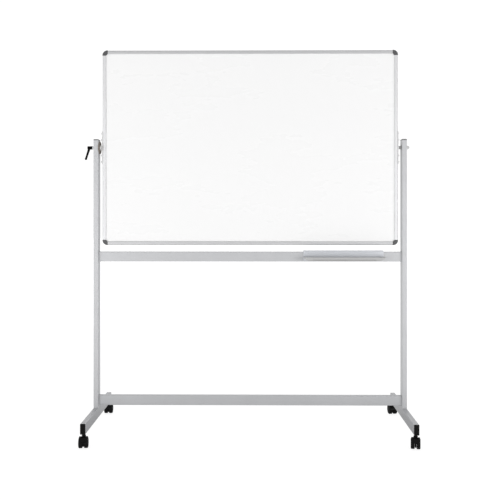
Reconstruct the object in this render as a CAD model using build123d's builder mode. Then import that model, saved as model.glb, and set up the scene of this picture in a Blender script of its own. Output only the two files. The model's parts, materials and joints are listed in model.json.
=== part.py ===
from build123d import *
import os
from math import cos, radians, sin

# Rolling whiteboard: a double-sided board that turns over between the posts of a wheeled stand.
# Millimetres, +Z up. The origin is on the floor under the middle of the board. +X is to the
# right of a person who faces the front of the board, and that person stands on the -Y side.

os.makedirs("parts", exist_ok=True)

LEFT = -1
RIGHT = 1
FRONT = -1
REAR = 1
sides = ((LEFT, "left"), (RIGHT, "right"))

# ---------------------------------------------------------------- driving dimensions
board_width = 1505.0
board_height = 993.0
pivot_height = 1438.0  # the board's centre, and the axis that it turns about
post_outer_x = 795.5  # from the centre plane to a post's outer face

tube_width = 25.0  # every tube of the stand is the same 50 x 25 section
tube_depth = 50.0
tube_wall = 1.5
tube_corner = 3.0

foot_bottom = 64.0
foot_half_length = 313.0  # tube only, without its end caps
post_top = 1474.5
middle_rail_bottom = 858.0
lower_rail_bottom = 126.0

castor_y = 290.0  # from the posts' plane to a castor's stem
wheel_radius = 25.0
castor_trail = 20.0  # from the stem to the axle

tray_centre_x = 475.0
tray_length = 406.0

# ---------------------------------------------------------------- dimensions that follow
post_inner_x = post_outer_x - tube_width
post_x = post_outer_x - tube_width / 2
foot_top = foot_bottom + tube_depth
tube_inside_width = tube_width - 2 * tube_wall
tube_inside_depth = tube_depth - 2 * tube_wall
middle_rail_top = middle_rail_bottom + tube_depth
plug_clearance = 0.1
plug_width = tube_inside_width - 2 * plug_clearance
plug_depth = tube_inside_depth - 2 * plug_clearance
running_gap = 0.05  # radial, between a shaft and the hole that it turns in

# Board frame: an aluminium profile whose slot holds the panel
frame_inset = 0.6  # the corner caps stand this far proud of the frame
frame_face = 18.0
frame_depth = 22.0
frame_wall = 1.6
frame_web = 8.5  # from the profile's outer edge to the bottom of its slot
frame_outer_radius = 6.0
frame_inner_radius = 3.2
lip_radius = 0.4
chamber_width = frame_web - 2 * frame_wall + 0.1  # the closed chamber outside the slot
chamber_depth = 14.0
frame_edge_x = board_width / 2 - frame_inset
frame_edge_z = board_height / 2 - frame_inset
corner_size = 27.0
corner_depth = 23.0
corner_outer_radius = 25.0
corner_inner_radius = 17.0
corner_edge_radius = 1.0
spigot_start = 18.0
spigot_length = 20.0  # beyond the cap, into the bar
spigot_width = frame_web - 2 * frame_wall - 0.2
spigot_half_depth = 6.8
panel_clearance = 0.2
sheet_thickness = 0.5
core_thickness = 10.0
panel_thickness = core_thickness + 2 * sheet_thickness
panel_inset = frame_inset + frame_web + 0.1
hollow_x = 12.2  # the centre of the small hollow in each of the slot's lips
hollow_y = panel_thickness / 2 + 1.8
hollow_width = 6.0
hollow_depth = 2.2

# Pivots: each stud or bolt runs along X through a bush in its post
pivot_radius = 5.0
pivot_spigot_radius = 7.0  # the part of a stud or bolt that sits in its plate
bush_radius = 7.0
bush_flange_radius = 10.0
bush_flange = 1.5
plate_thickness = 4.0
plate_half_height = 84.0
plate_width = 20.0
plate_outer_x = frame_edge_x + plate_thickness
plate_screw_radius = 2.1
plate_screw_offsets = (-72.0, -40.0, 40.0, 72.0)
friction_disc_radius = 32.0
friction_disc_thickness = 5.0
stud_flange_radius = 13.0
stud_flange = 2.5
stud_neck_radius = 7.5

# Clamp lever, from its washer outwards along -X
washer_inner_x = post_outer_x + bush_flange + 0.2
washer_outer_x = washer_inner_x + 2.0
insert_inner_x = washer_outer_x + 0.1
insert_flange_x = insert_inner_x + 6.0
insert_outer_x = 817.0
insert_flange_radius = 7.4
insert_hub_radius = 6.0
stud_end_x = 809.5
screw_start_x = 811.0
handle_inner_x = insert_flange_x + 0.2
handle_web_x = insert_outer_x + 0.5
handle_web = 2.0
handle_outer_x = 830.5
handle_hub_radius = 8.5
screw_head_x = 826.8
screw_head = 2.6
screw_head_radius = 4.4
clamp_screw_radius = 2.5

# Rail and foot fasteners
rail_bolt_radius = 3.0
rail_bolt_spacing = 24.0
nut_block_length = 18.0
foot_bolt_radius = 4.0
foot_bolt_spacing = 28.0
nut_plate_height = 12.0
bolt_hole_clearance = 0.2

# Castors
stem_radius = 5.0
stem_pin_radius = 4.0
stem_pin_bottom = 43.4
collar_bottom = 55.2
collar_radius = 7.0
socket_length = 24.0
socket_height = 14.0
axle_radius = 3.0
axle_length = 36.0
wheel_inner_x = 4.8
wheel_outer_x = 22.5
hood_radius = 29.0
hood_half_width = 20.5
hood_bottom = wheel_radius + 5.0
wheel_well_radius = 26.5
castor_web_half = 4.4
castor_web_radius = 19.0
castor_bridge_height = 6.0
stem_boss_radius = 10.0
stem_boss_bottom = 36.0
stem_boss_top = 55.0
pedal_pivot_radius = 27.75
pedal_pivot_angle = 60.0
pedal_pin_radius = 1.0
pedal_pin_half = 12.6
pedal_half_width = 9.8
pedal_inner_radius = wheel_radius + 0.15
pedal_outer_radius = 28.6
pedal_sweep = (20.0, 58.0)  # the pad's two ends, as angles about the axle

# Pen tray: a hooked plate with a trough in front of it
hook_gap = 0.3  # between the hook and the rail
tray_sheet = 2.4
tray_edge = 0.9  # the radius of the hooked plate's two lower edges
tray_bend = 4.0
tray_crease = 0.4
tray_top = middle_rail_top + 6.0
tray_front_y = -80.0
tray_rear_lip = middle_rail_top - 13.0
trough_bottom = 863.0
trough_rim = 883.0
trough_radius = 16.0
tray_end_length = 44.0
hook_inner_y = tube_width / 2 + hook_gap
hook_outer_y = hook_inner_y + tray_sheet


# ---------------------------------------------------------------- shared helpers
def save(piece, name):
    piece.part.label = name
    export_step(piece.part, f"parts/{name}.step")


def tube_section(plane, width, depth):
    """The wall of a rounded rectangular tube, centred on the plane's origin."""
    with BuildSketch(plane) as section:
        RectangleRounded(width, depth, tube_corner)
        inside = (width - 2 * tube_wall, depth - 2 * tube_wall)
        RectangleRounded(*inside, tube_corner - tube_wall, mode=Mode.SUBTRACT)
    return section.sketch


def x_plane(x, y=0.0, z=0.0):
    """A plane across X whose local x is Y and whose local y is Z."""
    return Plane(origin=(x, y, z), x_dir=(0, 1, 0), z_dir=(1, 0, 0))


def x_cylinder(start, end, radius, side, z=pivot_height, y=0.0, mode=Mode.ADD):
    """A cylinder along X, between two distances from the centre plane, on one side of it."""
    with BuildSketch(x_plane(side * start, y, z)) as section:
        Circle(radius)
    extrude(section.sketch, amount=side * (end - start), mode=mode)


def z_cylinder(x, y, bottom, top, radius, mode=Mode.ADD):
    with BuildSketch(Plane((x, y, bottom))) as section:
        Circle(radius)
    extrude(section.sketch, amount=top - bottom, mode=mode)


# ---------------------------------------------------------------- stand: feet
def build_foot(side):
    foot_plane = Plane(
        origin=(side * post_x, -foot_half_length, foot_bottom + tube_depth / 2),
        x_dir=(1, 0, 0),
        z_dir=(0, 1, 0),
    )
    with BuildPart() as foot:
        extrude(tube_section(foot_plane, tube_width, tube_depth), amount=2 * foot_half_length)
        for end in (FRONT, REAR):
            hole_radius = stem_radius + bolt_hole_clearance
            top_of_wall = foot_bottom + tube_wall
            z_cylinder(
                side * post_x, end * castor_y, foot_bottom, top_of_wall, hole_radius, Mode.SUBTRACT
            )
            bolt_y = end * foot_bolt_spacing / 2
            hole_radius = foot_bolt_radius + bolt_hole_clearance
            z_cylinder(side * post_x, bolt_y, foot_bottom, foot_top, hole_radius, Mode.SUBTRACT)
    return foot


for side, side_name in sides:
    foot = build_foot(side)
    save(foot, f"{side_name}_foot")

cap_head = 4.0
cap_rim = 1.5
cap_plug = 10.0
cap_wall = 2.0
plug_corner = 1.4
plug_inner_corner = 0.5
probe = 0.01  # half the thickness of the slice in which an edge is looked for
rib_groove_width = 1.4
rib_groove_depth = 1.0
rib_groove_length = tube_depth - 7.0
rib_pitch = 5.6

with BuildPart() as foot_end_caps:
    for side, end in ((s, e) for s in (LEFT, RIGHT) for e in (FRONT, REAR)):
        cap_face = Plane(
            origin=(side * post_x, end * foot_half_length, foot_bottom + tube_depth / 2),
            x_dir=(1, 0, 0),
            z_dir=(0, end, 0),
        )
        with BuildSketch(cap_face) as head:
            RectangleRounded(tube_width, tube_depth, tube_corner)
        extrude(amount=cap_head)
        cap_outer_y = end * (foot_half_length + cap_head)
        rim = foot_end_caps.edges().filter_by_position(Axis.Y, cap_outer_y - probe, cap_outer_y + probe)
        rim = rim.filter_by(lambda edge: edge.center().X * side > 0)
        fillet(rim, radius=cap_rim)
        with BuildSketch(cap_face.offset(-cap_plug)) as plug:
            RectangleRounded(plug_width, plug_depth, plug_corner)
            hollow = (plug_width - 2 * cap_wall, plug_depth - 2 * cap_wall)
            RectangleRounded(*hollow, plug_inner_corner, mode=Mode.SUBTRACT)
        extrude(amount=cap_plug)
        with BuildSketch(cap_face.offset(cap_head - rib_groove_depth)) as grooves:
            with GridLocations(rib_pitch, 0, 3, 1):
                SlotOverall(rib_groove_length, rib_groove_width, rotation=90)
        extrude(amount=rib_groove_depth, mode=Mode.SUBTRACT)
save(foot_end_caps, "foot_end_caps")


# ---------------------------------------------------------------- stand: posts and rails
def build_post(side):
    with BuildPart() as post:
        foot_of_post = Plane((side * post_x, 0, foot_top))
        extrude(tube_section(foot_of_post, tube_width, tube_depth), amount=post_top - foot_top)
        x_cylinder(post_inner_x, post_outer_x, bush_radius, side, mode=Mode.SUBTRACT)
        for rail_bottom in (middle_rail_bottom, lower_rail_bottom):
            for offset_z in (-rail_bolt_spacing / 2, rail_bolt_spacing / 2):
                hole_z = rail_bottom + tube_depth / 2 + offset_z
                hole_radius = rail_bolt_radius + bolt_hole_clearance
                x_cylinder(post_inner_x, post_outer_x, hole_radius, side, hole_z, mode=Mode.SUBTRACT)
    return post


for side, side_name in sides:
    post = build_post(side)
    save(post, f"{side_name}_post")

post_cap_head = 6.0
post_cap_crown = 2.8

with BuildPart() as post_top_caps:
    for side in (LEFT, RIGHT):
        with BuildSketch(Plane((side * post_x, 0, post_top))) as head:
            RectangleRounded(tube_width, tube_depth, tube_corner)
        extrude(amount=post_cap_head)
        cap_top = post_top + post_cap_head
        crown = post_top_caps.edges().filter_by_position(Axis.Z, cap_top - probe, cap_top + probe)
        fillet(crown.filter_by(lambda edge: edge.center().X * side > 0), radius=post_cap_crown)
        with BuildSketch(Plane((side * post_x, 0, post_top))) as plug:
            RectangleRounded(plug_width, plug_depth, plug_corner)
            hollow = (plug_width - 2 * cap_wall, plug_depth - 2 * cap_wall)
            RectangleRounded(*hollow, plug_inner_corner, mode=Mode.SUBTRACT)
        extrude(amount=-cap_plug)
save(post_top_caps, "post_top_caps")


def build_rail(bottom):
    with BuildPart() as rail:
        end_plane = x_plane(-post_inner_x, 0, bottom + tube_depth / 2)
        extrude(tube_section(end_plane, tube_width, tube_depth), amount=2 * post_inner_x)
    return rail


middle_rail = build_rail(middle_rail_bottom)
save(middle_rail, "middle_rail")
lower_rail = build_rail(lower_rail_bottom)
save(lower_rail, "lower_rail")

rail_ends = [(s, b) for s in (LEFT, RIGHT) for b in (middle_rail_bottom, lower_rail_bottom)]
rail_bolt_head = 2.2
rail_head_radius = 7.0
rail_head_rim = 0.6
rail_head_crown_radius = 6.0
rail_head_flat_radius = 3.5
rail_hex_radius = 2.3
rail_hex_depth = 1.8
rail_bolt_tip_x = post_inner_x - nut_block_length + 3.0

with BuildPart() as rail_nut_blocks:
    for side, bottom in rail_ends:
        centre_z = bottom + tube_depth / 2
        with BuildSketch(x_plane(side * post_inner_x, 0, centre_z)) as block:
            RectangleRounded(plug_width, plug_depth, plug_corner)
            with GridLocations(0, rail_bolt_spacing, 1, 2):
                Circle(rail_bolt_radius, mode=Mode.SUBTRACT)
        extrude(amount=-side * nut_block_length)
save(rail_nut_blocks, "rail_nut_blocks")

with BuildPart() as rail_bolts:
    for side, bottom in rail_ends:
        for offset_z in (-rail_bolt_spacing / 2, rail_bolt_spacing / 2):
            bolt_z = bottom + tube_depth / 2 + offset_z
            x_cylinder(rail_bolt_tip_x, post_outer_x, rail_bolt_radius, side, bolt_z)
            head_outer_x = post_outer_x + rail_bolt_head
            with BuildSketch(Plane((0, 0, bolt_z), x_dir=(side, 0, 0), z_dir=(0, -side, 0))) as head:
                with BuildLine():
                    rim = (post_outer_x + rail_head_rim, rail_head_radius)
                    crown = (head_outer_x, rail_head_flat_radius)
                    Line((post_outer_x, 0), (post_outer_x, rail_head_radius))
                    Line((post_outer_x, rail_head_radius), rim)
                    RadiusArc(rim, crown, -rail_head_crown_radius)
                    Line(crown, (head_outer_x, 0))
                    Line((head_outer_x, 0), (post_outer_x, 0))
                make_face()
            revolve(axis=Axis((0, 0, bolt_z), (1, 0, 0)))
            with BuildSketch(x_plane(side * (head_outer_x - rail_hex_depth), 0, bolt_z)) as socket:
                RegularPolygon(rail_hex_radius, 6)
            extrude(amount=side * rail_hex_depth, mode=Mode.SUBTRACT)
save(rail_bolts, "rail_bolts")

# ---------------------------------------------------------------- stand: foot fasteners
foot_bolt_head = 3.0
foot_head_rim = 1.5
foot_hex_radius = 2.9
foot_hex_depth = 2.0
foot_bolt_tip = foot_top + nut_plate_height - 2.0
foot_bolts_xy = [(s * post_x, e * foot_bolt_spacing / 2) for s in (LEFT, RIGHT) for e in (FRONT, REAR)]

with BuildPart() as foot_nut_plates:
    with BuildSketch(Plane((0, 0, foot_top))) as plates:
        with Locations((-post_x, 0), (post_x, 0)):
            RectangleRounded(plug_width, plug_depth, plug_corner)
        with Locations(*foot_bolts_xy):
            Circle(foot_bolt_radius, mode=Mode.SUBTRACT)
    extrude(amount=nut_plate_height)
save(foot_nut_plates, "foot_nut_plates")

with BuildPart() as foot_bolts:
    for bolt_x, bolt_y in foot_bolts_xy:
        z_cylinder(bolt_x, bolt_y, foot_bottom, foot_bolt_tip, foot_bolt_radius)
        z_cylinder(bolt_x, bolt_y, foot_bottom - foot_bolt_head, foot_bottom, 2 * foot_bolt_radius)
    undersides = foot_bolts.faces().filter_by(Plane.XY).group_by(Axis.Z)[0]
    fillet(undersides.edges(), radius=foot_head_rim)
    with BuildSketch(Plane((0, 0, foot_bottom - foot_bolt_head))) as sockets:
        with Locations(*foot_bolts_xy):
            RegularPolygon(foot_hex_radius, 6)
    extrude(amount=foot_hex_depth, mode=Mode.SUBTRACT)
save(foot_bolts, "foot_bolts")

# ---------------------------------------------------------------- castor stems
stems_xy = [(s * post_x, e * castor_y) for s in (LEFT, RIGHT) for e in (FRONT, REAR)]

with BuildPart() as castor_sockets:
    with BuildSketch(Plane((0, 0, foot_bottom + tube_wall))) as sockets:
        with Locations(*stems_xy):
            Rectangle(tube_inside_width - 2 * tube_corner, socket_length)
            Circle(stem_radius, mode=Mode.SUBTRACT)
    extrude(amount=socket_height)
save(castor_sockets, "castor_sockets")

stem_top = foot_bottom + tube_wall + socket_height - 1.0

with BuildPart() as castor_stems:
    for stem_x, stem_y in stems_xy:
        z_cylinder(stem_x, stem_y, foot_bottom, stem_top, stem_radius)
        z_cylinder(stem_x, stem_y, collar_bottom, foot_bottom, collar_radius)
        z_cylinder(stem_x, stem_y, stem_pin_bottom, collar_bottom, stem_pin_radius)
save(castor_stems, "castor_stems")

# ---------------------------------------------------------------- pivot bushes and clamp washer
bore_radius = pivot_radius + running_gap
clamp_washer_radius = 10.5

with BuildPart() as pivot_bushes:
    for side in (LEFT, RIGHT):
        x_cylinder(post_inner_x, post_outer_x, bush_radius, side)
        x_cylinder(post_outer_x, post_outer_x + bush_flange, bush_flange_radius, side)
        x_cylinder(post_inner_x, post_outer_x + bush_flange, bore_radius, side, mode=Mode.SUBTRACT)
save(pivot_bushes, "pivot_bushes")

with BuildPart() as clamp_washer:
    x_cylinder(post_outer_x + bush_flange, washer_outer_x, clamp_washer_radius, LEFT)
    chamfer(clamp_washer.edges().group_by(Axis.X)[0], length=0.4)
    x_cylinder(post_outer_x + bush_flange, washer_outer_x, bore_radius, LEFT, mode=Mode.SUBTRACT)
save(clamp_washer, "clamp_washer")


# ---------------------------------------------------------------- board: panel
def build_slab(front_y, thickness):
    with BuildPart() as slab:
        with BuildSketch(Plane((0, front_y, pivot_height), x_dir=(1, 0, 0), z_dir=(0, -1, 0))):
            Rectangle(board_width - 2 * panel_inset, board_height - 2 * panel_inset)
        extrude(amount=-thickness)
    return slab


front_writing_sheet = build_slab(-panel_thickness / 2, sheet_thickness)
save(front_writing_sheet, "front_writing_sheet")
board_core = build_slab(-core_thickness / 2, core_thickness)
save(board_core, "board_core")
rear_writing_sheet = build_slab(core_thickness / 2, sheet_thickness)
save(rear_writing_sheet, "rear_writing_sheet")


# ---------------------------------------------------------------- board: frame
def frame_section(plane):
    """The profile: local x runs inwards from its outer edge, local y across its depth."""
    half_depth = frame_depth / 2
    half_slot = panel_thickness / 2
    outline = [
        (0, -half_depth),
        (0, half_depth),
        (frame_face, half_depth),
        (frame_face, half_slot),
        (frame_web, half_slot),
        (frame_web, -half_slot),
        (frame_face, -half_slot),
        (frame_face, -half_depth),
    ]
    corner_radii = [frame_outer_radius, frame_outer_radius, frame_inner_radius, lip_radius]
    corner_radii += [0, 0, lip_radius, frame_inner_radius]
    with BuildSketch(plane) as section:
        with BuildLine():
            FilletPolyline(*outline, radius=corner_radii, close=True)
        make_face()
        with Locations((frame_wall + chamber_width / 2, 0)):
            Rectangle(chamber_width, chamber_depth, mode=Mode.SUBTRACT)
        with Locations((hollow_x, hollow_y), (hollow_x, -hollow_y)):
            Rectangle(hollow_width, hollow_depth, mode=Mode.SUBTRACT)
    return section.sketch


bar_end_x = board_width / 2 - corner_size
bar_end_z = board_height / 2 - corner_size
top_z = pivot_height + frame_edge_z
bottom_z = pivot_height - frame_edge_z

frame_bars = {
    "frame_top": ((-bar_end_x, 0, top_z), (0, 0, -1), (1, 0, 0), 2 * bar_end_x),
    "frame_bottom": ((-bar_end_x, 0, bottom_z), (0, 0, 1), (1, 0, 0), 2 * bar_end_x),
    "frame_left": ((-frame_edge_x, 0, pivot_height - bar_end_z), (1, 0, 0), (0, 0, 1), 2 * bar_end_z),
    "frame_right": ((frame_edge_x, 0, pivot_height - bar_end_z), (-1, 0, 0), (0, 0, 1), 2 * bar_end_z),
}
for bar_name, (origin, inwards, along, length) in frame_bars.items():
    with BuildPart() as frame_bar:
        extrude(frame_section(Plane(origin, x_dir=inwards, z_dir=along)), amount=length)
        if bar_name in ("frame_left", "frame_right"):
            side = LEFT if bar_name == "frame_left" else RIGHT
            for screw_z in plate_screw_offsets:
                x_cylinder(
                    frame_edge_x - frame_web,
                    frame_edge_x,
                    plate_screw_radius,
                    side,
                    pivot_height + screw_z,
                    mode=Mode.SUBTRACT,
                )
    save(frame_bar, bar_name)


# ---------------------------------------------------------------- board: corner caps
def build_corner_cap(side, up):
    """A moulded cap over one corner, with a spigot into each of the two frame bars."""
    outer_x = side * board_width / 2
    outer_z = up * board_height / 2
    centre = (outer_x - side * corner_size / 2, outer_z - up * corner_size / 2)
    front_plane = Plane((0, 0, pivot_height), x_dir=(1, 0, 0), z_dir=(0, -1, 0))
    spigot_offset = frame_inset + frame_wall + (frame_web - 2 * frame_wall) / 2
    with BuildPart() as cap:
        with BuildSketch(front_plane) as face:
            with Locations(centre):
                Rectangle(corner_size, corner_size)
            corners = face.vertices().sort_by_distance((outer_x, outer_z))
            fillet(corners[0], radius=corner_outer_radius)
            corners = face.vertices().sort_by_distance((outer_x, outer_z))
            fillet(corners[-1], radius=corner_inner_radius)
        extrude(amount=corner_depth / 2, both=True)
        fillet(cap.faces().filter_by(Axis.Y).edges(), radius=corner_edge_radius)
        with BuildSketch(front_plane) as slot:
            slot_size = corner_size - panel_inset + panel_clearance
            slot_centre_x = outer_x - side * (corner_size - slot_size / 2)
            slot_centre_z = outer_z - up * (corner_size - slot_size / 2)
            with Locations((slot_centre_x, slot_centre_z)):
                Rectangle(slot_size, slot_size)
        extrude(amount=panel_thickness / 2, both=True, mode=Mode.SUBTRACT)
        with BuildSketch(front_plane) as spigots:
            reach = corner_size + spigot_length - spigot_start
            middle = spigot_start + reach / 2
            with Locations((outer_x - side * middle, outer_z - up * spigot_offset)):
                Rectangle(reach, spigot_width)
            with Locations((outer_x - side * spigot_offset, outer_z - up * middle)):
                Rectangle(spigot_width, reach)
        extrude(amount=spigot_half_depth, both=True)
    return cap


for up, up_name in ((1, "top"), (-1, "bottom")):
    for side, side_name in sides:
        corner_cap = build_corner_cap(side, up)
        save(corner_cap, f"{up_name}_{side_name}_corner_cap")


# ---------------------------------------------------------------- board: pivot hardware
def build_pivot_plate(side):
    with BuildPart() as plate:
        with BuildSketch(x_plane(side * frame_edge_x, 0, pivot_height)) as face:
            SlotOverall(2 * plate_half_height, plate_width, rotation=90)
            with Locations(*[(0, offset) for offset in plate_screw_offsets]):
                Circle(plate_screw_radius, mode=Mode.SUBTRACT)
            Circle(pivot_spigot_radius, mode=Mode.SUBTRACT)
        extrude(amount=side * plate_thickness)
        outer_rim = plate.faces().sort_by(Axis.X)[0 if side == LEFT else -1].outer_wire()
        chamfer(outer_rim.edges(), length=0.8)
    return plate


for side, side_name in sides:
    pivot_plate = build_pivot_plate(side)
    save(pivot_plate, f"{side_name}_pivot_plate")

plate_screw_head = 4.2
plate_screw_head_radius = 4.6
plate_screw_crown = 1.8
cross_depth = 1.6
cross_length = 5.2
cross_width = 1.1

with BuildPart() as pivot_plate_screws:
    for side in (LEFT, RIGHT):
        for offset_z in plate_screw_offsets:
            screw_z = pivot_height + offset_z
            x_cylinder(frame_edge_x - frame_web, plate_outer_x, plate_screw_radius, side, screw_z)
            head_outer_x = plate_outer_x + plate_screw_head
            x_cylinder(plate_outer_x, head_outer_x, plate_screw_head_radius, side, screw_z)
            with BuildSketch(x_plane(side * (head_outer_x - cross_depth), 0, screw_z)) as cross:
                Rectangle(cross_length, cross_width)
                Rectangle(cross_width, cross_length)
            extrude(amount=side * cross_depth, mode=Mode.SUBTRACT)
        outer_faces = pivot_plate_screws.faces().filter_by(Axis.X).group_by(Axis.X)
        rims = outer_faces[0 if side == LEFT else -1].edges().filter_by(GeomType.CIRCLE)
        fillet(rims, radius=plate_screw_crown)
save(pivot_plate_screws, "pivot_plate_screws")

disc_outer_x = post_inner_x - 0.2
disc_inner_x = disc_outer_x - friction_disc_thickness
dish_depth = 1.6
dish_rim = 6.0

with BuildPart() as left_pivot_stud:
    x_cylinder(frame_edge_x, plate_outer_x, pivot_spigot_radius, LEFT)
    x_cylinder(plate_outer_x, disc_inner_x - stud_flange, stud_neck_radius, LEFT)
    x_cylinder(disc_inner_x - stud_flange, disc_inner_x, stud_flange_radius, LEFT)
    x_cylinder(disc_inner_x, stud_end_x, pivot_radius, LEFT)
    chamfer(left_pivot_stud.edges().group_by(Axis.X)[0], length=0.8)
save(left_pivot_stud, "left_pivot_stud")

with BuildPart() as friction_disc:
    x_cylinder(disc_inner_x, disc_outer_x, friction_disc_radius, LEFT)
    fillet(friction_disc.edges(), radius=1.2)
    with BuildSketch(x_plane(-disc_inner_x, 0, pivot_height)) as dish:
        Circle(friction_disc_radius - dish_rim)
        Circle(stud_flange_radius + 1, mode=Mode.SUBTRACT)
    extrude(amount=-dish_depth, mode=Mode.SUBTRACT)
    x_cylinder(disc_inner_x, disc_outer_x, pivot_radius, LEFT, mode=Mode.SUBTRACT)
save(friction_disc, "friction_disc")

right_washer_radius = 13.0
right_washer = 1.6
right_washer_x = disc_outer_x - right_washer
spacer_radius = 8.0

with BuildPart() as right_friction_washer:
    x_cylinder(right_washer_x, disc_outer_x, right_washer_radius, RIGHT)
    fillet(right_friction_washer.edges(), radius=0.4)
    x_cylinder(right_washer_x, disc_outer_x, pivot_radius, RIGHT, mode=Mode.SUBTRACT)
save(right_friction_washer, "right_friction_washer")

with BuildPart() as right_spacer:
    x_cylinder(plate_outer_x, right_washer_x, spacer_radius, RIGHT)
    fillet(right_spacer.edges(), radius=0.8)
    x_cylinder(plate_outer_x, right_washer_x, pivot_radius, RIGHT, mode=Mode.SUBTRACT)
save(right_spacer, "right_spacer")

nut_inner_x = post_outer_x + bush_flange + 0.3
nut_length = 12.0
nut_outer_x = nut_inner_x + nut_length
nut_across_flats = 17.0
nut_flange = 1.2
nut_flange_radius = 10.0
nut_crown = 3.5
nut_crown_radius = 7.4
bolt_end_x = nut_outer_x + 2.5

with BuildPart() as right_pivot_bolt:
    x_cylinder(frame_edge_x, plate_outer_x, pivot_spigot_radius, RIGHT)
    x_cylinder(plate_outer_x, bolt_end_x, pivot_radius, RIGHT)
    chamfer(right_pivot_bolt.edges().group_by(Axis.X)[-1], length=0.8)
save(right_pivot_bolt, "right_pivot_bolt")

with BuildPart() as right_lock_nut:
    with BuildSketch(x_plane(nut_inner_x, 0, pivot_height)) as hexagon:
        RegularPolygon(nut_across_flats / 2, 6, major_radius=False)
    extrude(amount=nut_length - nut_crown)
    x_cylinder(nut_inner_x, nut_inner_x + nut_flange, nut_flange_radius, RIGHT)
    x_cylinder(nut_inner_x, nut_outer_x, nut_crown_radius, RIGHT)
    fillet(right_lock_nut.edges().group_by(Axis.X)[-1], radius=1.5)
    x_cylinder(nut_inner_x, nut_outer_x, pivot_radius, RIGHT, mode=Mode.SUBTRACT)
save(right_lock_nut, "right_lock_nut")

# ---------------------------------------------------------------- clamp lever
with BuildPart() as clamp_insert:
    x_cylinder(insert_inner_x, insert_flange_x, insert_flange_radius, LEFT)
    chamfer(clamp_insert.edges().group_by(Axis.X)[-1], length=0.5)
    x_cylinder(insert_flange_x, insert_outer_x, insert_hub_radius, LEFT)
    x_cylinder(insert_inner_x, stud_end_x + 0.5, bore_radius, LEFT, mode=Mode.SUBTRACT)
    x_cylinder(screw_start_x, insert_outer_x, clamp_screw_radius, LEFT, mode=Mode.SUBTRACT)
save(clamp_insert, "clamp_insert")

arm_start = (-821.5, 0, pivot_height - 1)
arm_end = (-839.0, 0, pivot_height - 56)
arm_root_size = (7.2, 6.6)
arm_waist_size = (6.0, 5.5)
arm_tip_size = (5.8, 5.2)
arm_ball_radius = 6.1
screw_well_radius = screw_head_radius + 0.3
arm_direction = Vector(*arm_end) - Vector(*arm_start)
arm_middle = Vector(*arm_start) + arm_direction * 0.5

with BuildPart() as clamp_handle:
    x_cylinder(handle_inner_x, handle_outer_x, handle_hub_radius, LEFT)
    fillet(clamp_handle.edges().group_by(Axis.X)[0], radius=2.4)
    with BuildSketch(Plane(arm_start, x_dir=(0, 1, 0), z_dir=arm_direction)) as arm_root:
        Ellipse(*arm_root_size)
    with BuildSketch(Plane(arm_middle, x_dir=(0, 1, 0), z_dir=arm_direction)) as arm_waist:
        Ellipse(*arm_waist_size)
    with BuildSketch(Plane(arm_end, x_dir=(0, 1, 0), z_dir=arm_direction)) as arm_tip:
        Ellipse(*arm_tip_size)
    loft()
    with Locations(arm_end):
        Sphere(arm_ball_radius)
    x_cylinder(handle_inner_x, handle_web_x, insert_hub_radius + 0.1, LEFT, mode=Mode.SUBTRACT)
    x_cylinder(handle_web_x, handle_web_x + handle_web, clamp_screw_radius + 0.1, LEFT, mode=Mode.SUBTRACT)
    x_cylinder(handle_web_x + handle_web, handle_outer_x, screw_well_radius, LEFT, mode=Mode.SUBTRACT)
save(clamp_handle, "clamp_handle")

clamp_hex_radius = 1.7
clamp_hex_depth = 1.6

with BuildPart() as clamp_screw:
    x_cylinder(screw_start_x, screw_head_x, clamp_screw_radius, LEFT)
    x_cylinder(screw_head_x, screw_head_x + screw_head, screw_head_radius, LEFT)
    fillet(clamp_screw.edges().group_by(Axis.X)[0], radius=0.8)
    with BuildSketch(x_plane(-screw_head_x - screw_head + clamp_hex_depth, 0, pivot_height)) as socket:
        RegularPolygon(clamp_hex_radius, 6)
    extrude(amount=-clamp_hex_depth, mode=Mode.SUBTRACT)
save(clamp_screw, "clamp_screw")

spring_wire = 0.7
spring_coils = 4
spring_radius = 3.4
spring_start_x = handle_web_x + handle_web + spring_wire / 2
spring_length = screw_head_x - handle_web_x - handle_web - spring_wire

with BuildPart() as clamp_spring:
    with BuildLine() as coil:
        Helix(
            pitch=spring_length / spring_coils,
            height=spring_length,
            radius=spring_radius,
            center=(-spring_start_x, 0, pivot_height),
            direction=(-1, 0, 0),
        )
    with BuildSketch(Plane(origin=coil.line @ 0, z_dir=coil.line % 0)) as wire:
        Circle(spring_wire / 2)
    sweep(is_frenet=True)
save(clamp_spring, "clamp_spring")


# ---------------------------------------------------------------- pen tray
def tray_hook_outline():
    """The hooked plate's section in Y and Z, with a radius for each of its corners."""
    inside_top = middle_rail_top + 0.2
    outline = [
        (hook_outer_y, tray_rear_lip),
        (hook_outer_y, tray_top),
        (-hook_outer_y, tray_top),
        (-hook_outer_y, trough_bottom),
        (-hook_inner_y, trough_bottom),
        (-hook_inner_y, inside_top),
        (hook_inner_y, inside_top),
        (hook_inner_y, tray_rear_lip),
    ]
    corner_radii = [tray_edge, tray_bend, tray_bend, tray_crease]
    corner_radii += [tray_edge, tray_crease, tray_crease, tray_edge]
    return outline, corner_radii


tray_start_x = tray_centre_x - tray_length / 2
tray_end_x = tray_centre_x + tray_length / 2
trough_start_x = tray_start_x + tray_end_length
trough_end_x = tray_end_x - tray_end_length
floor_z = trough_bottom + tray_sheet
trough_inner_y = tray_front_y + tray_sheet
trough_back_y = -hook_outer_y + 0.5

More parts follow.
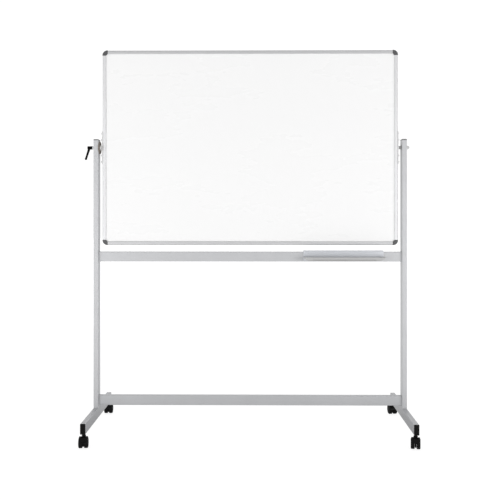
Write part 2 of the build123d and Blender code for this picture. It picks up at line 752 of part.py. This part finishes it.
with BuildPart() as pen_tray:
    hook_points, hook_radii = tray_hook_outline()
    with BuildSketch(x_plane(tray_start_x)) as hook:
        with BuildLine():
            FilletPolyline(*hook_points, radius=hook_radii, close=True)
        make_face()
    extrude(amount=tray_length)
    trough_points = [
        (trough_back_y, trough_bottom),
        (tray_front_y, trough_bottom),
        (tray_front_y, trough_rim),
        (trough_inner_y, trough_rim),
        (trough_inner_y, floor_z),
        (trough_back_y, floor_z),
    ]
    rim_radius = tray_sheet / 2 - 0.1
    trough_radii = [0, trough_radius, rim_radius, rim_radius, trough_radius - tray_sheet, 0]
    with BuildSketch(x_plane(trough_start_x)) as trough:
        with BuildLine():
            FilletPolyline(*trough_points, radius=trough_radii, close=True)
        make_face()
    extrude(amount=trough_end_x - trough_start_x)
save(pen_tray, "pen_tray")


def build_boat_end(side, inset):
    """A solid trough end whose underside curves up to the rim, drawn inset from the outside."""
    inner_x = trough_end_x if side == RIGHT else trough_start_x
    front_y = tray_front_y + inset
    floor = trough_bottom + inset
    rim = trough_rim + (1.0 if inset else 0.0)
    reach = tray_end_length - inset
    with BuildPart() as boat:
        front_plane = Plane((inner_x, -hook_outer_y, 0), x_dir=(side, 0, 0), z_dir=(0, -side, 0))
        with BuildSketch(front_plane) as front_view:
            with BuildLine():
                EllipticalCenterArc((0, trough_rim), reach, trough_rim - floor, 0, arc_size=-90)
                Line((0, floor), (0, rim))
                Line((0, rim), (reach, rim))
                if inset:
                    Line((reach, rim), (reach, trough_rim))
            make_face()
        extrude(amount=side * (-hook_outer_y - front_y))
        with BuildSketch(x_plane(inner_x - 1)) as side_view:
            with BuildLine():
                FilletPolyline(
                    (-hook_outer_y, floor),
                    (front_y, floor),
                    (front_y, rim),
                    (-hook_outer_y, rim),
                    radius=[0, trough_radius - inset, 0, 0],
                    close=True,
                )
            make_face()
        extrude(amount=tray_end_length + 2, both=True, mode=Mode.INTERSECT)
    return boat.part


with BuildPart() as tray_ends:
    for side in (LEFT, RIGHT):
        add(build_boat_end(side, 0.0))
        add(build_boat_end(side, tray_sheet), mode=Mode.SUBTRACT)
    rim_edges = tray_ends.edges().filter_by_position(Axis.Z, trough_rim - probe, trough_rim + probe)
    rim_edges = rim_edges.filter_by(GeomType.LINE).filter_by(Axis.X)
    fillet(rim_edges, radius=0.8)
save(tray_ends, "tray_ends")


# ---------------------------------------------------------------- castors
# Wheel section, as distances along the axle from the castor's middle and radii about the axle
hub_radius = 8.0
inner_dish_x = 11.0
dish_radius = 18.0
hub_cap_radius = 10.0
bore_end_x = 19.0
inner_tread_radius = 2.0
outer_tread_radius = 5.5
pocket_count = 8
pocket_radius = 2.3
pocket_depth = 3.0

# Brake pedal's toe tab, placed by an angle and a distance from the axle
tab_angle = 24.0
tab_distance = 33.0
tab_slope = 12.0
tab_length = 13.0
tab_thickness = 3.6
pedal_knuckle_radius = 2.4


def castor_side(castor, offset):
    """A plane square to the axle: local x runs along the trail and local y is up."""
    origin = castor.from_local_coords((offset, 0, 0))
    return Plane(origin, x_dir=castor.y_dir, z_dir=castor.x_dir)


def build_castor_body(castor, has_brake):
    axle = (castor_trail, wheel_radius)
    with BuildPart() as body:
        with BuildSketch(castor_side(castor, 0)) as hood:
            with Locations(axle):
                Circle(hood_radius)
            with Locations((castor_trail, hood_bottom - hood_radius)):
                Rectangle(3 * hood_radius, 2 * hood_radius, mode=Mode.SUBTRACT)
        extrude(amount=hood_half_width, both=True)
        hood_arcs = body.edges().filter_by(GeomType.CIRCLE)
        fillet(hood_arcs, radius=2.0)
        with BuildSketch(castor_side(castor, 0)) as web:
            with Locations(axle):
                Circle(castor_web_radius)
            with Locations((castor_trail, hood_bottom + 1)):
                Rectangle(2 * castor_trail, castor_bridge_height)
        extrude(amount=castor_web_half, both=True)
        with BuildSketch(Plane(castor.from_local_coords((0, 0, stem_boss_bottom)))) as stem_boss:
            Circle(stem_boss_radius)
        extrude(amount=stem_boss_top - stem_boss_bottom)
        for hand in (-1, 1):
            with BuildSketch(castor_side(castor, hand * castor_web_half)) as wheel_well:
                with Locations(axle):
                    Circle(wheel_well_radius)
            extrude(amount=hand * hood_half_width, mode=Mode.SUBTRACT)
        stem_hole_bottom = stem_pin_bottom - 0.4
        with BuildSketch(Plane(castor.from_local_coords((0, 0, stem_hole_bottom)))) as stem_hole:
            Circle(stem_pin_radius + running_gap)
        extrude(amount=stem_boss_top - stem_hole_bottom, mode=Mode.SUBTRACT)
        with BuildSketch(castor_side(castor, -castor_web_half)) as axle_hole:
            with Locations(axle):
                Circle(axle_radius)
        extrude(amount=2 * castor_web_half, mode=Mode.SUBTRACT)
        if has_brake:
            with BuildSketch(castor_side(castor, 0)) as pedal_gap:
                with Locations(axle):
                    Circle(2 * hood_radius)
                    Circle(wheel_radius - 0.2, mode=Mode.SUBTRACT)
                start_angle, end_angle = pedal_sweep
                add(sector(*axle, start_angle - 12, end_angle + 13), mode=Mode.INTERSECT)
            extrude(amount=pedal_half_width + 0.5, both=True, mode=Mode.SUBTRACT)
            with BuildSketch(castor_side(castor, 0)) as pin_hole:
                with Locations(pedal_pivot_point()):
                    Circle(pedal_pin_radius + running_gap)
            extrude(amount=pedal_pin_half + 0.4, both=True, mode=Mode.SUBTRACT)
    return body


def sector(centre_x, centre_y, start_angle, end_angle):
    """A wide pie slice about a point, from one angle to another."""
    reach = 3 * hood_radius
    rays = [
        (centre_x + reach * cos(radians(angle)), centre_y + reach * sin(radians(angle)))
        for angle in (start_angle, end_angle)
    ]
    with BuildSketch() as slice_sketch:
        with BuildLine():
            Polyline((centre_x, centre_y), *rays, close=True)
        make_face()
    return slice_sketch.sketch


def pedal_pivot_point():
    angle = radians(pedal_pivot_angle)
    return (
        castor_trail + pedal_pivot_radius * cos(angle),
        wheel_radius + pedal_pivot_radius * sin(angle),
    )


def build_wheel(castor, hand):
    """One wheel of the pair: a dished tyre with a blind bore, turned about the axle."""
    centre = castor.from_local_coords((0, castor_trail, wheel_radius))
    bore = axle_radius + running_gap
    recess_x = wheel_outer_x - 1.5
    hub_face_x = wheel_outer_x - 0.3
    half_section = [
        (wheel_inner_x + 0.2, bore),
        (wheel_inner_x + 0.2, hub_radius),
        (inner_dish_x, hub_radius),
        (inner_dish_x, dish_radius),
        (wheel_inner_x, dish_radius),
        (wheel_inner_x, wheel_radius),
        (wheel_outer_x, wheel_radius),
        (wheel_outer_x, dish_radius + 1),
        (recess_x, dish_radius),
        (recess_x, hub_cap_radius + 1),
        (hub_face_x, hub_cap_radius),
        (hub_face_x, 0.0),
        (bore_end_x, 0.0),
        (bore_end_x, bore),
    ]
    inner_radii = [0, 0.5, 0.5, 0.5, 0.5, inner_tread_radius]
    outer_radii = [outer_tread_radius, 0.6, 0.3, 0.3, 0.3, 0, 0, 0]
    with BuildPart() as wheel:
        with BuildSketch(Plane(centre, x_dir=castor.x_dir * hand, z_dir=castor.y_dir * -hand)):
            with BuildLine():
                FilletPolyline(*half_section, radius=inner_radii + outer_radii, close=True)
            make_face()
        revolve(axis=Axis(centre, castor.x_dir))
        pocket_face = castor.from_local_coords((hand * recess_x, castor_trail, wheel_radius))
        with BuildSketch(Plane(pocket_face, x_dir=(0, 0, 1), z_dir=castor.x_dir * -hand)):
            with PolarLocations((hub_cap_radius + dish_radius) / 2 + 0.5, pocket_count):
                Circle(pocket_radius)
        extrude(amount=pocket_depth, mode=Mode.SUBTRACT)
    return wheel


def build_axle(castor):
    with BuildPart() as axle:
        with BuildSketch(castor_side(castor, -axle_length / 2)):
            with Locations((castor_trail, wheel_radius)):
                Circle(axle_radius)
        extrude(amount=axle_length)
    return axle


def build_brake_pedal(castor):
    """A curved pad over both treads, with a toe tab and a pin through the hood."""
    axle = (castor_trail, wheel_radius)
    with BuildPart() as pedal:
        with BuildSketch(castor_side(castor, 0)) as pad:
            with Locations(axle):
                Circle(pedal_outer_radius)
                Circle(pedal_inner_radius, mode=Mode.SUBTRACT)
            add(sector(*axle, *pedal_sweep), mode=Mode.INTERSECT)
            tab_centre = (
                castor_trail + tab_distance * cos(radians(tab_angle)),
                wheel_radius + tab_distance * sin(radians(tab_angle)),
            )
            with Locations(Location(tab_centre, tab_slope)):
                SlotOverall(tab_length, tab_thickness)
            with Locations(pedal_pivot_point()):
                Circle(pedal_knuckle_radius)
        extrude(amount=pedal_half_width, both=True)
        with BuildSketch(castor_side(castor, 0)) as pin:
            with Locations(pedal_pivot_point()):
                Circle(pedal_pin_radius)
        extrude(amount=pedal_pin_half, both=True)
    return pedal


# A castor's frame: x along its axle, y from the stem towards the axle, z up
castor_headings = {
    "front_left": (LEFT, FRONT, 187.0),
    "front_right": (RIGHT, FRONT, 168.0),
    "rear_left": (LEFT, REAR, 2.0),
    "rear_right": (RIGHT, REAR, 8.0),
}
for castor_name, (side, end, heading) in castor_headings.items():
    turn = radians(heading)
    castor = Plane(
        origin=(side * post_x, end * castor_y, 0), x_dir=(cos(turn), sin(turn), 0), z_dir=(0, 0, 1)
    )
    castor_body = build_castor_body(castor, has_brake=end == FRONT)
    save(castor_body, f"{castor_name}_castor_body")
    castor_axle = build_axle(castor)
    save(castor_axle, f"{castor_name}_castor_axle")
    for hand in (-1, 1):
        faces_outwards = hand * side * castor.x_dir.X > 0
        castor_wheel = build_wheel(castor, hand)
        save(castor_wheel, f"{castor_name}_{'outer' if faces_outwards else 'inner'}_wheel")
    if end == FRONT:
        brake_pedal = build_brake_pedal(castor)
        save(brake_pedal, f"{castor_name}_brake_pedal")
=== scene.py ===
import json
import math

import bpy
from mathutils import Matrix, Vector

# Rolling whiteboard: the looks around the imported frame. Metres, +Z up, floor at z = 0, front at -Y.

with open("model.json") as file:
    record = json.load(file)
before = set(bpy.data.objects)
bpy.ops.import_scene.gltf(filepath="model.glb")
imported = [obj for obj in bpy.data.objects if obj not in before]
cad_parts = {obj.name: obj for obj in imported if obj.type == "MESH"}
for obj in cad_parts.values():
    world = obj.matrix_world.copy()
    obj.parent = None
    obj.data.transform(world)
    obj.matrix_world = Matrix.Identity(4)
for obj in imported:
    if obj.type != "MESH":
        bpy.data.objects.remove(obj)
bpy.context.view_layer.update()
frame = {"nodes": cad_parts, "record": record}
scene = bpy.context.scene


# ---------------------------------------------------------------- camera
CAMERA_LOCATION = (0.037, -3.85, 1.105)
CAMERA_HEADING = 0.55  # degrees to the left of straight ahead
CAMERA_SENSOR = 36.0
CAMERA_LENS = 54.3
CAMERA_SHIFT = -0.074  # downwards, so that the castors are in the picture


def add_camera():
    """Stands a long step in front of the board, with its axis level and its view shifted down."""
    data = bpy.data.cameras.new("camera")
    camera = bpy.data.objects.new("camera", data)
    scene.collection.objects.link(camera)
    camera.location = CAMERA_LOCATION
    camera.rotation_euler = (math.radians(90), 0, math.radians(CAMERA_HEADING))
    data.sensor_width = CAMERA_SENSOR
    data.lens = CAMERA_LENS
    data.shift_y = CAMERA_SHIFT
    scene.camera = camera


add_camera()


# ---------------------------------------------------------------- node helpers
class Nodes:
    """Builds one material's node tree. Pattern coordinates are the object's own, in metres."""

    def __init__(self, name):
        self.material = bpy.data.materials.new(name)
        self.material.use_nodes = True
        self.tree = self.material.node_tree
        self.shader = self.tree.nodes["Principled BSDF"]
        self.object_coordinates = self.add("ShaderNodeTexCoord").outputs["Object"]

    def add(self, kind, **settings):
        node = self.tree.nodes.new(kind)
        for key, value in settings.items():
            setattr(node, key, value)
        return node

    def put(self, socket, value):
        """Sets a socket to a number or colour, or links an output to it."""
        if isinstance(value, bpy.types.NodeSocket):
            self.tree.links.new(value, socket)
        else:
            socket.default_value = value

    def stretched(self, scale):
        """The coordinates, scaled along each axis, for patterns that run one way."""
        mapping = self.add("ShaderNodeMapping")
        self.put(mapping.inputs["Vector"], self.object_coordinates)
        mapping.inputs["Scale"].default_value = scale
        return mapping.outputs["Vector"]

    def noise(self, scale, detail=3.0, roughness=0.55, vector=None):
        node = self.add("ShaderNodeTexNoise")
        self.put(node.inputs["Vector"], vector or self.object_coordinates)
        node.inputs["Scale"].default_value = scale
        node.inputs["Detail"].default_value = detail
        node.inputs["Roughness"].default_value = roughness
        return node.outputs["Fac"]

    def cells(self, scale, feature="F1"):
        node = self.add("ShaderNodeTexVoronoi", feature=feature)
        self.put(node.inputs["Vector"], self.object_coordinates)
        node.inputs["Scale"].default_value = scale
        return node.outputs["Distance"]

    def spread(self, value, low, high, to_low=0.0, to_high=1.0):
        """Maps low..high of a value onto to_low..to_high, held at the ends."""
        node = self.add("ShaderNodeMapRange")
        self.put(node.inputs["Value"], value)
        self.put(node.inputs["From Min"], low)
        self.put(node.inputs["From Max"], high)
        self.put(node.inputs["To Min"], to_low)
        self.put(node.inputs["To Max"], to_high)
        return node.outputs["Result"]

    def times(self, first, second):
        node = self.add("ShaderNodeMath", operation="MULTIPLY")
        self.put(node.inputs[0], first)
        self.put(node.inputs[1], second)
        return node.outputs[0]

    def mix(self, factor, first, second):
        """One colour at factor 0, and the other at factor 1."""
        node = self.add("ShaderNodeMix", data_type="RGBA")
        self.put(node.inputs["Factor"], factor)
        self.put(node.inputs[6], first)
        self.put(node.inputs[7], second)
        return node.outputs[2]

    def bump(self, height, distance, strength):
        node = self.add("ShaderNodeBump")
        self.put(node.inputs["Height"], height)
        node.inputs["Distance"].default_value = distance
        node.inputs["Strength"].default_value = strength
        return node.outputs["Normal"]

    def finish(self, colour, roughness, normal, **inputs):
        """Fills in the shader. Other inputs are given by name, with _ for each space."""
        self.put(self.shader.inputs["Base Color"], colour)
        self.put(self.shader.inputs["Roughness"], roughness)
        self.put(self.shader.inputs["Normal"], normal)
        for name, value in inputs.items():
            self.put(self.shader.inputs[name.replace("_", " ")], value)
        return self.material


NEUTRAL = (1.0, 1.0, 1.0)
COOL = (0.985, 0.995, 1.02)
WARM = (1.03, 1.0, 0.95)
BLUISH = (0.965, 0.99, 1.045)


def grey(level, tint=NEUTRAL):
    return tuple(level * channel for channel in tint) + (1.0,)


# ---------------------------------------------------------------- materials
def make_powder_coat(name, level, tint):
    """Silver-grey powder coat: a fine orange peel, metallic flecks and a few dull rubs."""
    n = Nodes(name)
    flecks = n.spread(n.cells(2600.0), 0.05, 0.30, 1.0, 0.0)
    cloud = n.noise(9.0, detail=4.0)
    base = n.mix(cloud, grey(level - 0.03, tint), grey(level + 0.03, tint))
    colour = n.mix(n.times(flecks, 0.25), base, grey(level + 0.25, tint))
    rubs = n.spread(n.noise(38.0, detail=6.0, roughness=0.7), 0.60, 0.78)
    colour = n.mix(n.times(rubs, 0.10), colour, grey(0.36))
    roughness = n.spread(n.noise(160.0), 0.3, 0.7, 0.36, 0.50)
    peel = n.bump(n.noise(900.0, detail=2.0), 0.00006, 0.6)
    return n.finish(colour, roughness, peel, Metallic=0.35)


def make_moulded(name, colour, low=0.42, high=0.58, grain=1500.0, dust=0.25, shine=0.4):
    """Moulded plastic: spark-eroded grain, slightly uneven gloss and a little dust."""
    n = Nodes(name)
    settled = n.spread(n.noise(55.0, detail=6.0, roughness=0.65), 0.48, 0.75)
    dusty = tuple(min(1.0, channel * 1.4 + 0.012) for channel in colour[:3]) + (1.0,)
    mixed = n.mix(n.times(settled, dust), colour, dusty)
    roughness = n.spread(n.noise(240.0), 0.3, 0.7, low, high)
    texture = n.bump(n.noise(grain, detail=4.0), 0.00005, 0.7)
    return n.finish(mixed, roughness, texture, Specular_IOR_Level=shine)


def make_enamel():
    """Glossy white enamelled steel with a trace of wiped-off marker ink and dry-wipe haze."""
    n = Nodes("white_enamel")
    wipes = n.noise(1.6, detail=5.0, roughness=0.6, vector=n.stretched((1.0, 1.0, 3.4)))
    haze = n.spread(wipes, 0.45, 0.75)
    clean = n.mix(n.noise(0.8, detail=2.0), grey(0.855), grey(0.875))
    colour = n.mix(n.times(haze, 0.08), clean, grey(0.80))
    roughness = n.spread(wipes, 0.3, 0.7, 0.25, 0.31)
    peel = n.bump(n.noise(260.0, detail=2.0), 0.00003, 0.25)
    return n.finish(colour, roughness, peel, Coat_Weight=0.35, Coat_Roughness=0.08)


def make_aluminium(name, along, level):
    """Satin anodised extrusion. Die lines run lengthwise, so the pattern is stretched that way."""
    n = Nodes(name)
    scale = [260.0, 260.0, 260.0]
    scale["XYZ".index(along)] = 1.2
    lines = n.noise(5.0, detail=6.0, roughness=0.75, vector=n.stretched(scale))
    cloud = n.noise(5.0, detail=3.0)
    colour = n.mix(lines, grey(level - 0.06, COOL), grey(level + 0.06, COOL))
    colour = n.mix(n.times(cloud, 0.3), colour, grey(level, WARM))
    roughness = n.spread(lines, 0.3, 0.7, 0.40, 0.55)
    scratches = n.bump(lines, 0.00004, 0.5)
    return n.finish(colour, roughness, scratches, Metallic=0.6)


def make_zinc(name, colour, blotch=0.35):
    """Zinc plate: crystalline blotches with a faint straw and blue passivation bloom."""
    n = Nodes(name)
    crystals = n.cells(420.0)
    bloom = n.noise(70.0, detail=4.0)
    tinted = n.mix(bloom, (0.60, 0.58, 0.50, 1.0), (0.50, 0.56, 0.64, 1.0))
    mixed = n.mix(n.times(bloom, blotch), colour, tinted)
    roughness = n.spread(crystals, 0.0, 0.8, 0.34, 0.56)
    texture = n.bump(n.noise(1200.0, detail=3.0), 0.00004, 0.5)
    return n.finish(mixed, roughness, texture, Metallic=0.7)


def make_lining():
    """Pressed fibre friction lining: brown-grey, with chopped strands and dark resin pits."""
    n = Nodes("friction_lining")
    strands = n.noise(700.0, detail=5.0, roughness=0.8, vector=n.stretched((1.0, 2.6, 1.0)))
    colour = n.mix(n.spread(strands, 0.35, 0.65), (0.12, 0.10, 0.085, 1.0), (0.27, 0.232, 0.20, 1.0))
    pits = n.spread(n.cells(900.0), 0.0, 0.22, 1.0, 0.0)
    colour = n.mix(n.times(pits, 0.6), colour, (0.05, 0.045, 0.04, 1.0))
    texture = n.bump(strands, 0.00015, 0.9)
    return n.finish(colour, 0.82, texture)


def make_honeycomb():
    """Kraft-paper honeycomb: thin brown cell walls around darker cells."""
    n = Nodes("honeycomb_core")
    walls = n.spread(n.cells(90.0, feature="DISTANCE_TO_EDGE"), 0.02, 0.10, 1.0, 0.0)
    fibres = n.noise(1400.0, detail=4.0)
    paper = n.mix(fibres, (0.42, 0.29, 0.17, 1.0), (0.55, 0.40, 0.25, 1.0))
    colour = n.mix(walls, (0.16, 0.11, 0.065, 1.0), paper)
    texture = n.bump(walls, 0.0006, 0.9)
    return n.finish(colour, 0.85, texture)


materials = {
    "powder_coat": make_powder_coat("powder_coat", 0.51, COOL),
    "black_end_cap": make_moulded("black_end_cap", grey(0.005), dust=0.15, shine=0.1),
    "grey_post_cap": make_moulded("grey_post_cap", grey(0.15), dust=0.15),
    "cast_zinc": make_zinc("cast_zinc", grey(0.42), blotch=0.15),
    "zinc_steel": make_zinc("zinc_steel", grey(0.72)),
    "black_stem": make_moulded("black_stem", grey(0.012), low=0.30, high=0.42, shine=0.3),
    "nylon_bush": make_moulded("nylon_bush", grey(0.68, WARM), dust=0.1),
    "white_enamel": make_enamel(),
    "honeycomb_core": make_honeycomb(),
    "frame_aluminium": make_aluminium("frame_aluminium", "X", 0.56),
    "charcoal_corner": make_moulded(
        "charcoal_corner", grey(0.085, COOL), low=0.32, high=0.46, dust=0.2
    ),
    "white_plate": make_moulded("white_plate", grey(0.80), low=0.30, high=0.42, dust=0.05),
    "friction_lining": make_lining(),
    "grey_spacer": make_moulded("grey_spacer", grey(0.33), dust=0.1),
    "black_handle": make_moulded(
        "black_handle", grey(0.003), low=0.40, high=0.55, grain=2200.0, dust=0.1, shine=0.05
    ),
    "tray_metal": make_powder_coat("tray_metal", 0.65, BLUISH),
    "tray_plastic": make_moulded("tray_plastic", grey(0.43), dust=0.1),
    "castor_plastic": make_moulded(
        "castor_plastic", grey(0.0045), low=0.30, high=0.46, dust=0.2, shine=0.12
    ),
    "wheel_nylon": make_moulded(
        "wheel_nylon", grey(0.0045), low=0.40, high=0.60, dust=0.25, shine=0.12
    ),
}
# A second copy of the frame's aluminium for the uprights. Its die lines run along Z, and it is
# painted lighter (level 0.70 against 0.56) as a painted highlight, since the uprights are the same
# extrusion as the top and bottom bars.
upright_aluminium_painted_lighter = make_aluminium("frame_aluminium_upright_painted_lighter", "Z", 0.70)
# A darker, neutral copy of the tray's powder coat for the trough. It is painted shade: the trough is
# the same piece as the bluish plate above it.
trough_coat_painted_shade = make_powder_coat("trough_coat_painted_shade", 0.42, NEUTRAL)


# ---------------------------------------------------------------- give each node its material
TRAY_PLATE_FRONT = -0.0277  # the trough is everything of the tray that stands in front of this y

for subpart in frame["record"]["subparts"]:
    node = frame["nodes"][subpart["node"]]
    material = materials[subpart["material_slot"]]
    # The uprights take the lighter copy: a painted highlight on the side bars.
    if subpart["node"] in ("frame_left", "frame_right"):
        material = upright_aluminium_painted_lighter
    node.data.materials.clear()
    node.data.materials.append(material)

# Faces in front of the plate take the darker copy: painted shade on the trough, which curves down and
# under below its rim.
tray = frame["nodes"]["pen_tray"]
tray.data.materials.append(trough_coat_painted_shade)
for polygon in tray.data.polygons:
    if (tray.matrix_world @ polygon.center).y < TRAY_PLATE_FRONT:
        polygon.material_index = 1


# ---------------------------------------------------------------- floor and light
FLOOR_RADIUS = 30.0
FLOOR_CORNERS = 96
FLOOR_SEEN = (0.87, 1.0)  # the floor's glow as the camera sees it, near the stand and far off
FLOOR_SEEN_REACH = (1.5, 6.0)  # where it starts to brighten, and where it stops
# The floor's glow as a light on the object: (distance from the stand's middle, glow). The
# distance is weighed along X and Y, because the dim patch is as wide as the stand but not as deep.
FLOOR_LIGHT = ((0.6, 0.26), (1.1, 0.88), (2.4, 0.88), (6.0, 0.80))
FLOOR_WEIGHTS = (0.6, 1.6, 1.0)
FLOOR_LIGHT_REACH = 6.0
WORLD_SEEN = 1.05
# The room's light on the object: (sine of the height angle, glow).
WORLD_LIGHT = ((0.0, 0.92), (0.12, 0.34), (0.40, 0.32), (0.70, 0.72))

# The two key lights stand left and right of the camera, and leave a gap for its own reflection.
KEY_X, KEY_Y, KEY_Z = 4.1, -5.0, 1.05
KEY_SIZE = (4.0, 1.9)
KEY_POWER = 103
BACK_LOCATION = (0, 6.0, 3.5)
BACK_TARGET = (0, 0, 1.0)
BACK_SIZE = (5.0, 1.8)
BACK_POWER = 60


def add_ramp(tree, value, reach, stops):
    """Turns a value between 0 and the reach into the level the stops give, in straight steps."""
    scaled = tree.nodes.new("ShaderNodeMath")
    scaled.operation = "DIVIDE"
    tree.links.new(value, scaled.inputs[0])
    scaled.inputs[1].default_value = reach
    ramp = tree.nodes.new("ShaderNodeValToRGB")
    tree.links.new(scaled.outputs[0], ramp.inputs["Fac"])
    elements = ramp.color_ramp.elements
    while len(elements) < len(stops):
        elements.new(0.5)
    for element, (position, level) in zip(elements, stops):
        element.position = position / reach
        element.color = grey(level)
    return ramp.outputs["Color"]


def blend_for_camera(tree, as_light, as_seen):
    """One value for what the camera sees directly, and another for what lights the object."""
    path = tree.nodes.new("ShaderNodeLightPath")
    choice = tree.nodes.new("ShaderNodeMix")
    tree.links.new(path.outputs["Is Camera Ray"], choice.inputs["Factor"])
    for socket, value in ((choice.inputs["A"], as_light), (choice.inputs["B"], as_seen)):
        if isinstance(value, float):
            socket.default_value = value
        else:
            tree.links.new(value, socket)
    return choice.outputs["Result"]


def add_floor():
    """A pale round floor that glows like a lit table, so the stand's shadow on it stays faint."""
    angles = [2 * math.pi * i / FLOOR_CORNERS for i in range(FLOOR_CORNERS)]
    points = [(FLOOR_RADIUS * math.cos(a), FLOOR_RADIUS * math.sin(a), 0.0) for a in angles]
    mesh = bpy.data.meshes.new("floor")
    mesh.from_pydata(points, [], [list(range(FLOOR_CORNERS))])
    floor = bpy.data.objects.new("floor", mesh)
    scene.collection.objects.link(floor)
    n = Nodes("floor_paint")
    distance = n.add("ShaderNodeVectorMath", operation="LENGTH")
    n.put(distance.inputs[0], n.object_coordinates)
    seen = n.spread(distance.outputs["Value"], *FLOOR_SEEN_REACH, *FLOOR_SEEN)
    weighed = n.add("ShaderNodeVectorMath", operation="LENGTH")
    n.put(weighed.inputs[0], n.stretched(FLOOR_WEIGHTS))
    as_light = add_ramp(n.tree, weighed.outputs["Value"], FLOOR_LIGHT_REACH, FLOOR_LIGHT)
    shade = n.mix(n.noise(3.0), grey(0.24), grey(0.26))
    n.finish(shade, 0.9, n.bump(n.noise(400.0), 0.00005, 0.3), Specular_IOR_Level=0.1)
    n.put(n.shader.inputs["Emission Color"], grey(1.0))
    n.put(n.shader.inputs["Emission Strength"], blend_for_camera(n.tree, as_light, seen))
    mesh.materials.append(n.material)


def add_soft_box(name, location, target, size, power):
    data = bpy.data.lights.new(name, "AREA")
    data.shape = "RECTANGLE"
    data.size, data.size_y = size
    data.energy = power
    light = bpy.data.objects.new(name, data)
    light.location = location
    light.rotation_euler = (Vector(target) - Vector(location)).to_track_quat("-Z", "Y").to_euler()
    scene.collection.objects.link(light)


def set_world():
    """White where it is seen. As a light it is dimmer, most of all at middle heights."""
    world = bpy.data.worlds.new("studio")
    world.use_nodes = True
    scene.world = world
    tree = world.node_tree
    background = tree.nodes["Background"]
    background.inputs["Color"].default_value = (1.0, 1.0, 1.0, 1.0)
    direction = tree.nodes.new("ShaderNodeTexCoord")
    parts = tree.nodes.new("ShaderNodeSeparateXYZ")
    tree.links.new(direction.outputs["Generated"], parts.inputs["Vector"])
    as_light = add_ramp(tree, parts.outputs["Z"], 1.0, WORLD_LIGHT)
    strength = blend_for_camera(tree, as_light, WORLD_SEEN)
    tree.links.new(strength, background.inputs["Strength"])


add_floor()
set_world()
for side, side_name in ((-1, "left"), (1, "right")):
    place = (side * KEY_X, KEY_Y, KEY_Z)
    add_soft_box(f"key_{side_name}", place, (0, 0, KEY_Z), KEY_SIZE, KEY_POWER)
add_soft_box("back_fill", BACK_LOCATION, BACK_TARGET, BACK_SIZE, BACK_POWER)
scene.view_settings.view_transform = "Standard"
